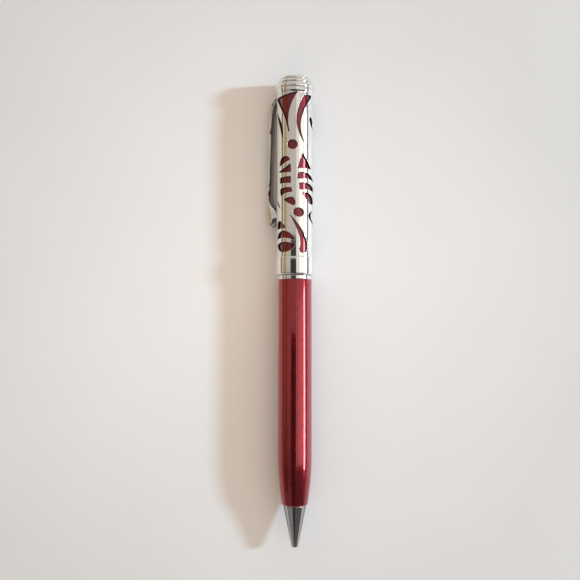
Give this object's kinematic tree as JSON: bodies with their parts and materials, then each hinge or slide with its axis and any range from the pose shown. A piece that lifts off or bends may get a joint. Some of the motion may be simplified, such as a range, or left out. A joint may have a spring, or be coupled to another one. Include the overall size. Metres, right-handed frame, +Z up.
{
  "type": "rollerball pen",
  "caption": "Slim twist-action rollerball pen with a pierced bright metal cap over a red tube, a red barrel, a pocket clip, a stepped crown and a conical writing end.",
  "frame": {"origin": "middle of the bounding box, on the flat surface that the pen lies on", "axes": "+Y runs along the pen from the writing end to the crown, +Z is up from the surface, and the pocket clip hangs low on the -X side"},
  "size_m": [0.0144, 0.1372, 0.0114],
  "materials": {
    "red_lacquer": "deep metallic red lacquer under a clear gloss coat",
    "chrome_plate": "mirror-bright chrome plating",
    "brass": "plain turned brass",
    "white_plastic": "moulded acetal",
    "black_rubber": "matt",
    "steel": "stainless steel",
    "ink_fibre": "fibre rod soaked in dark ink",
    "carbide": "polished tungsten carbide"
  },
  "bodies": {
    "barrel": {"lower_barrel": "red_lacquer", "front_bush": "brass", "nose_cone": "chrome_plate", "barrel_ring": "chrome_plate", "guide_tube": "brass", "friction_ring": "black_rubber", "thrust_washer": "steel", "retaining_ring": "steel", "return_spring": "steel"},
    "cap": {"centre_band": "chrome_plate", "cap_bush": "white_plastic", "cam_sleeve": "white_plastic", "cap_tube": "red_lacquer", "filigree_sleeve": "chrome_plate", "top_bush": "brass", "clip_anchor": "chrome_plate", "crown": "chrome_plate", "crown_screw": "steel"},
    "clip": {"pocket_clip": "chrome_plate"},
    "refill": {"refill_tube": "white_plastic", "refill_plug": "white_plastic", "ink_reservoir": "ink_fibre", "refill_point": "steel", "writing_ball": "carbide", "cam_follower": "white_plastic", "follower_pin": "steel"}
  },
  "joints": [
    {"name": "twist", "type": "hinge", "parent": "barrel", "child": "cap", "pos_m": [0.00148, 0.00975, 0.00572], "axis": [0, 1, 0], "range_deg": [0, 180]},
    {"name": "refill_slide", "type": "slide", "parent": "barrel", "child": "refill", "axis": [0, -1, 0], "range_m": [0, 0.004], "deforming": ["return_spring"]},
    {"name": "clip_flex", "type": "hinge", "parent": "cap", "child": "clip", "pos_m": [-0.00375, 0.0625, 0.00287], "axis": [0.4787, 0, -0.878], "range_deg": [0, 6], "stiffness_Nm_per_rad": 2}
  ],
  "couplings": [
    {"joint": "refill_slide", "follows": "twist", "m_per_rad": 0.001273}
  ]
}
